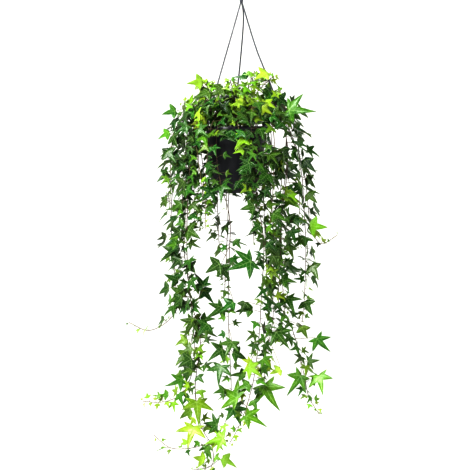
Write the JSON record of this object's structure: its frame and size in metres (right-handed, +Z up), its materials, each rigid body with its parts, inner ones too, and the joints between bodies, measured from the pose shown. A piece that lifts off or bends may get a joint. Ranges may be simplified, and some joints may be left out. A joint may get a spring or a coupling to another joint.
{
  "type": "potted trailing english ivy",
  "caption": "Trailing English ivy with star-shaped leaves, growing over the rim of a charcoal hanging pot on a three-legged plastic hanger with a hook.",
  "frame": {"origin": "bearing point at the inside top of the hook, where the plant hangs", "axes": "+Z up, -Y towards the front of the plant, +X to its right as seen from the front"},
  "size_m": [0.4935, 0.2993, 1.165],
  "materials": {
    "pot_plastic": "satin moulded charcoal polypropylene",
    "hanger_plastic": "smooth moulded dark grey polypropylene",
    "potting_soil": "damp crumbly peat compost",
    "ivy": "glossy living leaf on thin brown stems"
  },
  "bodies": {
    "root": {"pot": "pot_plastic", "hanger": "hanger_plastic", "soil": "potting_soil", "vine_left_long": "ivy", "vine_left_branch": "ivy", "vine_left_flick": "ivy", "vine_low_flick": "ivy", "vine_centre_long": "ivy", "vine_star": "ivy", "vine_right_long": "ivy", "vine_right_edge": "ivy", "vine_right_flick": "ivy", "vine_inner_right": "ivy", "vine_01": "ivy", "vine_02": "ivy", "vine_03": "ivy", "vine_04": "ivy", "vine_05": "ivy", "vine_06": "ivy", "vine_07": "ivy", "vine_08": "ivy", "vine_09": "ivy", "vine_10": "ivy", "vine_11": "ivy", "vine_12": "ivy", "vine_13": "ivy", "vine_14": "ivy", "vine_15": "ivy", "vine_16": "ivy", "vine_17": "ivy", "vine_18": "ivy", "vine_19": "ivy", "shoot_01": "ivy", "shoot_02": "ivy", "shoot_03": "ivy", "shoot_04": "ivy", "shoot_05": "ivy", "shoot_06": "ivy", "shoot_07": "ivy", "shoot_08": "ivy", "shoot_09": "ivy", "shoot_10": "ivy", "shoot_11": "ivy", "shoot_12": "ivy", "shoot_13": "ivy", "shoot_14": "ivy", "shoot_15": "ivy", "shoot_16": "ivy", "shoot_17": "ivy", "shoot_18": "ivy", "shoot_19": "ivy"}
  },
  "joints": []
}
